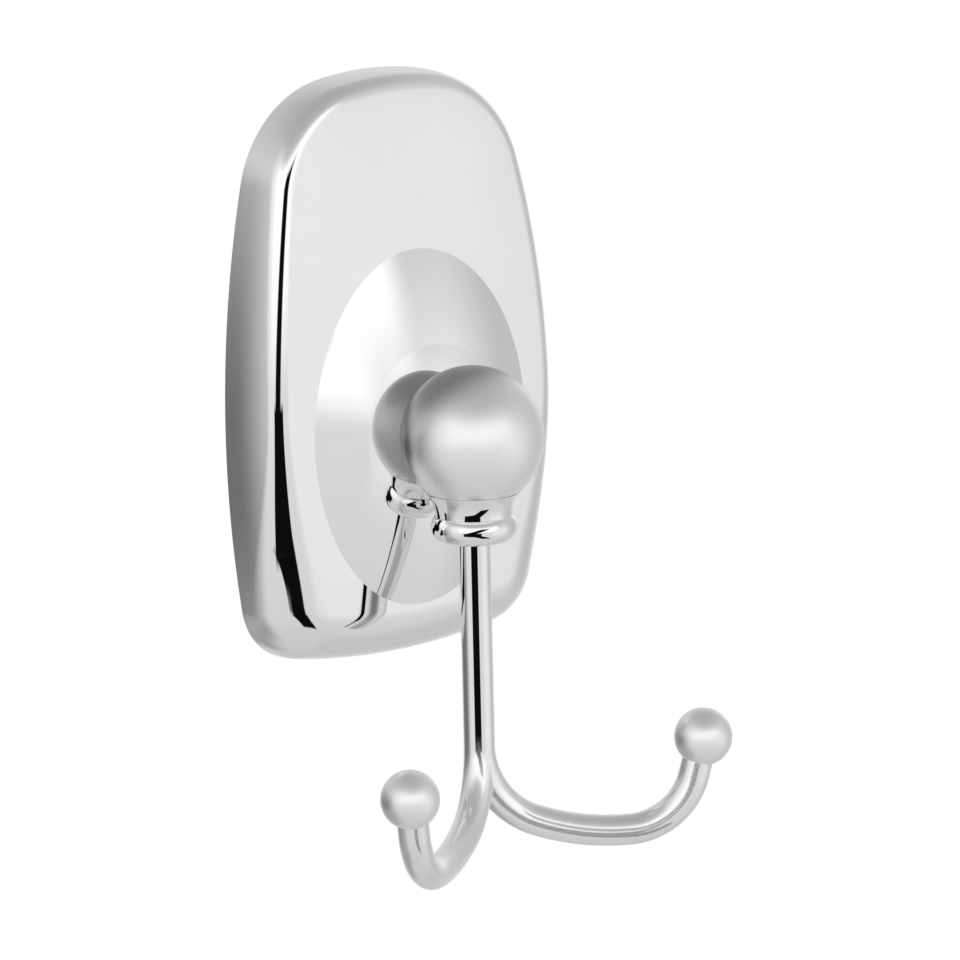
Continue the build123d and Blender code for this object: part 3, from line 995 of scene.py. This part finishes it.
def grained(name, scale, dark, light, smooth=0.0, rough=0.0, metallic=1):
    """A new material with a grain group in it: it, its shader and the group's outputs."""
    finish = bpy.data.materials.new(name)
    finish.use_nodes = True
    net = finish.node_tree
    shader = net.nodes["Principled BSDF"]
    shader.inputs["Metallic"].default_value = metallic
    grain = net.nodes.new("ShaderNodeGroup")
    grain.node_tree = grain_group
    choices = {"Scale": scale, "Dark": grey(dark), "Light": grey(light),
               "Smooth": smooth, "Rough": rough}
    for title, value in choices.items():
        grain.inputs[title].default_value = value
    net.links.new(grain.outputs["Color"], shader.inputs["Base Color"])
    if rough:
        net.links.new(grain.outputs["Roughness"], shader.inputs["Roughness"])
    return finish, shader, grain.outputs


def raise_grain(finish, shader, height, depth):
    """Bump the surface by the grain's height, to a depth in metres."""
    bump = finish.node_tree.nodes.new("ShaderNodeBump")
    bump.inputs["Strength"].default_value = 1
    bump.inputs["Distance"].default_value = depth
    finish.node_tree.links.new(height, bump.inputs["Height"])
    finish.node_tree.links.new(bump.outputs["Normal"], shader.inputs["Normal"])

# %% [markdown]
# ## Floor
# The hook hangs on a wall, so the floor lies well below it: a wide sheet of pale paper. Camera rays
# see it as plain white, like the backdrop, and it stays out of the reflections, where the painted
# room has a floor of its own.

# %% Floor
FLOOR_SIDE, FLOOR_LEVEL, PAPER_ROUGHNESS = 8, -0.6, 0.9
bpy.ops.object.select_all(action="DESELECT")
bpy.ops.mesh.primitive_plane_add(size=FLOOR_SIDE, location=(0, 0, FLOOR_LEVEL))
floor = bpy.context.object
floor.name = floor.data.name = "pale_floor"
floor.visible_glossy = False
paper, paper_shader, _ = grained("white_paper", scale=40, dark=0.86, light=0.90, metallic=0)
paper_shader.inputs["Roughness"].default_value = PAPER_ROUGHNESS
net = paper.node_tree
floor_rays = net.nodes.new("ShaderNodeLightPath")
plain_white = net.nodes.new("ShaderNodeEmission")
by_ray = net.nodes.new("ShaderNodeMixShader")
net.links.new(floor_rays.outputs["Is Camera Ray"], by_ray.inputs[0])
net.links.new(paper_shader.outputs[0], by_ray.inputs[1])
net.links.new(plain_white.outputs[0], by_ray.inputs[2])
net.links.new(by_ray.outputs[0], net.nodes["Material Output"].inputs["Surface"])
floor.data.materials.append(paper)
print("floor", FLOOR_SIDE, "m wide, at", FLOOR_LEVEL)

# %% [markdown]
# ## Polished chrome
# The collar is bright chrome: a metal shader with no roughness at all, whose tone drifts a little
# as plating does. A touch of bump would look more handmade, but on a mirror it frays the edge of
# every reflection.

# %% Polished chrome
polished, shader, _ = grained("polished_chrome", scale=60, dark=0.905, light=0.935)
shader.inputs["Roughness"].default_value = 0
print("finish:", polished.name)

# %% [markdown]
# ## Plated casting
# The plate is as bright as the collar, but only outside. In the hollow behind, the plating lies on
# the raw casting and is dull. The inner faces could be picked out for a second material. Instead
# this one asks which way the surface faces, because whatever looks back to the wall is inside.

# %% Plated casting
CAST_ROUGHNESS, FACES_WALL = 0.34, 0.02
casting, shader, _ = grained("plated_casting", scale=60, dark=0.905, light=0.935)
net = casting.node_tree
on_plate = net.nodes.new("ShaderNodeTexCoord")
outlook = net.nodes.new("ShaderNodeSeparateXYZ")
net.links.new(on_plate.outputs["Normal"], outlook.inputs[0])
is_inside = put(net, "GREATER_THAN", outlook.outputs["Y"], FACES_WALL)
net.links.new(put(net, "MULTIPLY", is_inside, CAST_ROUGHNESS), shader.inputs["Roughness"])
print("finish:", casting.name)

# %% [markdown]
# ## Arms
# The rod is as bright as the plate, but on the arms the reflections are softer, perhaps because
# robes rub there. A rougher shader would blur everything evenly. Rubbing leaves something else,
# countless fine scratches with bright metal between them, so white noise picks which specks of the
# surface are scratched, more and more of them lower down.

# %% Rubbed chrome for the arms
RUB_STARTS, RUB_FULL, RUB_SHARE, SCRATCHED = -0.058, -0.067, 0.5, 0.3
rubbed, shader, _ = grained("rubbed_chrome", scale=90, dark=0.90, light=0.935)
net = rubbed.node_tree
on_arm = net.nodes.new("ShaderNodeTexCoord")
arm_spot = net.nodes.new("ShaderNodeSeparateXYZ")
net.links.new(on_arm.outputs["Object"], arm_spot.inputs[0])
rub = ramped(net, arm_spot.outputs["Z"], RUB_STARTS, RUB_FULL, end=RUB_SHARE)
specks = net.nodes.new("ShaderNodeTexWhiteNoise")
net.links.new(on_arm.outputs["Object"], specks.inputs["Vector"])
is_scratched = put(net, "LESS_THAN", specks.outputs["Value"], rub)
net.links.new(put(net, "MULTIPLY", is_scratched, SCRATCHED), shader.inputs["Roughness"])
print("finish:", rubbed.name)

# %% [markdown]
# ## Satin chrome
# The balls are chromed over a blasted surface, so they mirror the room only as soft light and
# shade. A middling roughness does that, and a fine bump gives it grain. The hub ball's upper back
# is deep in shade, deeper than this room alone makes it. Another flag would darken the tips as
# well, so that shade is painted into the colour: a darker grey, mixed in behind the ball's centre.

# %% Satin chrome
# Direction, start, end and grey of the painted shade on the hub ball's upper back.
SHADE_TOWARDS, SHADE_STARTS, SHADE_FULL, PAINTED_SHADE_GREY = (0, 0.8, 0.45), -0.003, 0.004, 0.42
SATIN_PITS = 0.000003
satin, shader, grain = grained(
    "satin_chrome", scale=2600, dark=0.91, light=0.95, smooth=0.33, rough=0.39)
net = satin.node_tree
on_ball = net.nodes.new("ShaderNodeTexCoord")
from_hub = net.nodes.new("ShaderNodeVectorMath")
from_hub.operation = "SUBTRACT"
net.links.new(on_ball.outputs["Object"], from_hub.inputs[0])
from_hub.inputs[1].default_value = HUB_CENTRE
far_back = net.nodes.new("ShaderNodeVectorMath")
far_back.operation = "DOT_PRODUCT"
net.links.new(from_hub.outputs["Vector"], far_back.inputs[0])
far_back.inputs[1].default_value = SHADE_TOWARDS
# Painted shade: behind the hub ball's centre the base colour is mixed towards a darker grey.
shade_mask = ramped(net, far_back.outputs["Value"], SHADE_STARTS, SHADE_FULL)
painted_shade = mixed(net, shade_mask, grain["Color"], grey(PAINTED_SHADE_GREY))
net.links.new(painted_shade, shader.inputs["Base Color"])
raise_grain(satin, shader, grain["Height"], SATIN_PITS)
print("finish:", satin.name)

# %% [markdown]
# ## Zinc-plated steel
# Bracket, screws and washer are hidden against the wall, and are plain plated steel: greyer than
# chrome, and patchy, with dull and bright areas a few millimetres wide.

# %% Zinc-plated steel
ZINC_SPANGLES = 0.00001
zinc, shader, grain = grained(
    "zinc_steel", scale=420, dark=0.56, light=0.72, smooth=0.26, rough=0.42)
raise_grain(zinc, shader, grain["Height"], ZINC_SPANGLES)
print("finish:", zinc.name)

# %% [markdown]
# ## Finishes on the pieces
# The modelled pieces stand in for seven solids. The solids behind the plate need no remodelling,
# only their zinc.

# %% Finishes on the pieces
piece_finishes = (
    (backplate, casting), (collar, polished), (drop_rod, rubbed), (hook_arms, rubbed),
    (hub_ball, satin), (right_tip, satin), (left_tip, satin), (set_screw, zinc))
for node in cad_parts.values():
    node.data.materials.clear()
    node.data.materials.append(zinc)
for piece, finish in piece_finishes:
    piece.data.materials.clear()
    piece.data.materials.append(finish)
    print(piece.name, "in", finish.name)
